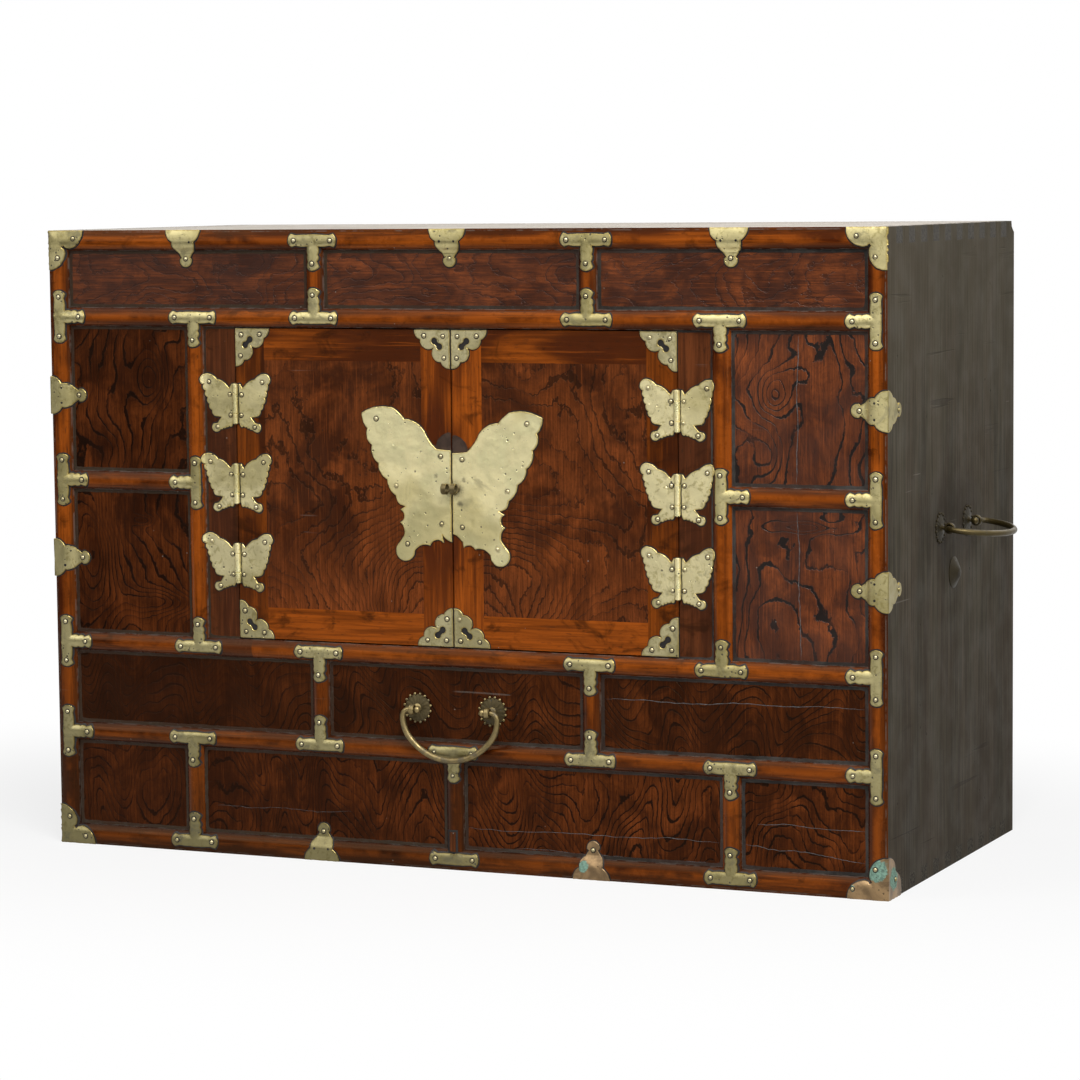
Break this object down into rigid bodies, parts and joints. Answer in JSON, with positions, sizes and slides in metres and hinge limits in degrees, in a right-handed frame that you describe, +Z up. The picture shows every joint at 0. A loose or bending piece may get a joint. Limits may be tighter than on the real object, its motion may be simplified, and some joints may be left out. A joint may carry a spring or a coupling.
{
  "type": "chest section",
  "caption": "Wooden Korean chest section with framed panels, two side-hung doors on butterfly hinges, brass corner plates, a lock plate with eyes, and bail handles.",
  "frame": {"origin": "middle of the base", "axes": "+X to the right seen from the front, +Y to the back, +Z up"},
  "size_m": [0.9662, 0.4013, 0.598],
  "materials": {
    "frame_wood": "satin lacquer",
    "panel_wood": "satin lacquer",
    "band_wood": "satin lacquer",
    "strip_wood": "satin lacquer",
    "case_wood": "worn matte",
    "back_wood": "bare",
    "plate_brass": "aged",
    "green_brass": "verdigris",
    "dark_brass": "aged dark"
  },
  "bodies": {
    "cabinet": {"back_board": "back_wood", "bottom_board": "case_wood", "corner_plates": "plate_brass", "door_head_rail": "frame_wood", "door_sill_rail": "frame_wood", "door_stops": "back_wood", "edge_plates": "plate_brass", "foot_row_panels": "panel_wood", "foot_row_stiles": "frame_wood", "frame_bottom_rail": "frame_wood", "frame_left_stile": "frame_wood", "frame_right_stile": "frame_wood", "frame_top_rail": "frame_wood", "front_handle_eyes": "dark_brass", "front_handle_rosettes": "dark_brass", "green_plates": "green_brass", "hinge_pins": "dark_brass", "hinge_strips": "strip_wood", "left_column_panels": "panel_wood", "left_frame_hinge_wings": "plate_brass", "left_handle_eyes": "dark_brass", "left_handle_mounts": "dark_brass", "left_post": "frame_wood", "left_side_board": "case_wood", "lower_rail": "frame_wood", "lower_row_panels": "panel_wood", "lower_row_stiles": "frame_wood", "mid_rails": "frame_wood", "post_brackets": "plate_brass", "rail_brackets": "plate_brass", "right_column_panels": "panel_wood", "right_frame_hinge_wings": "plate_brass", "right_handle_eyes": "dark_brass", "right_handle_mounts": "dark_brass", "right_post": "frame_wood", "right_side_board": "case_wood", "row_brackets": "plate_brass", "side_edge_plates": "plate_brass", "stile_brackets": "plate_brass", "top_board": "case_wood", "top_row_panels": "panel_wood", "top_row_stiles": "frame_wood"},
    "left_door": {"left_door_stiles": "band_wood", "left_door_rails": "band_wood", "left_door_panel": "panel_wood", "left_lock_plate": "plate_brass", "left_lock_eye": "dark_brass", "left_door_corner_plates": "plate_brass", "left_door_hinge_wings": "plate_brass"},
    "right_door": {"right_door_stiles": "band_wood", "right_door_rails": "band_wood", "right_door_panel": "panel_wood", "right_lock_plate": "plate_brass", "right_lock_eye": "dark_brass", "right_door_corner_plates": "plate_brass", "right_door_hinge_wings": "plate_brass"},
    "front_bail": {"front_bail": "dark_brass"},
    "left_bail": {"left_bail": "dark_brass"},
    "right_bail": {"right_bail": "dark_brass"}
  },
  "joints": [
    {"name": "right_door_hinge", "type": "hinge", "parent": "cabinet", "child": "right_door", "pos_m": [0.2253, -0.19165, 0.35725], "axis": [0, 0, 1], "range_deg": [0, 170]},
    {"name": "left_door_hinge", "type": "hinge", "parent": "cabinet", "child": "left_door", "pos_m": [-0.2253, -0.19165, 0.35725], "axis": [0, 0, -1], "range_deg": [0, 170]},
    {"name": "front_bail_swing", "type": "hinge", "parent": "cabinet", "child": "front_bail", "pos_m": [0, -0.201, 0.15075], "axis": [-1, 0, 0], "range_deg": [-2, 170]},
    {"name": "right_bail_swing", "type": "hinge", "parent": "cabinet", "child": "right_bail", "pos_m": [0.4345, 0, 0.32], "axis": [0, -1, 0], "range_deg": [-83, 90]},
    {"name": "left_bail_swing", "type": "hinge", "parent": "cabinet", "child": "left_bail", "pos_m": [-0.4345, 0, 0.32], "axis": [0, 1, 0], "range_deg": [-83, 90]}
  ]
}
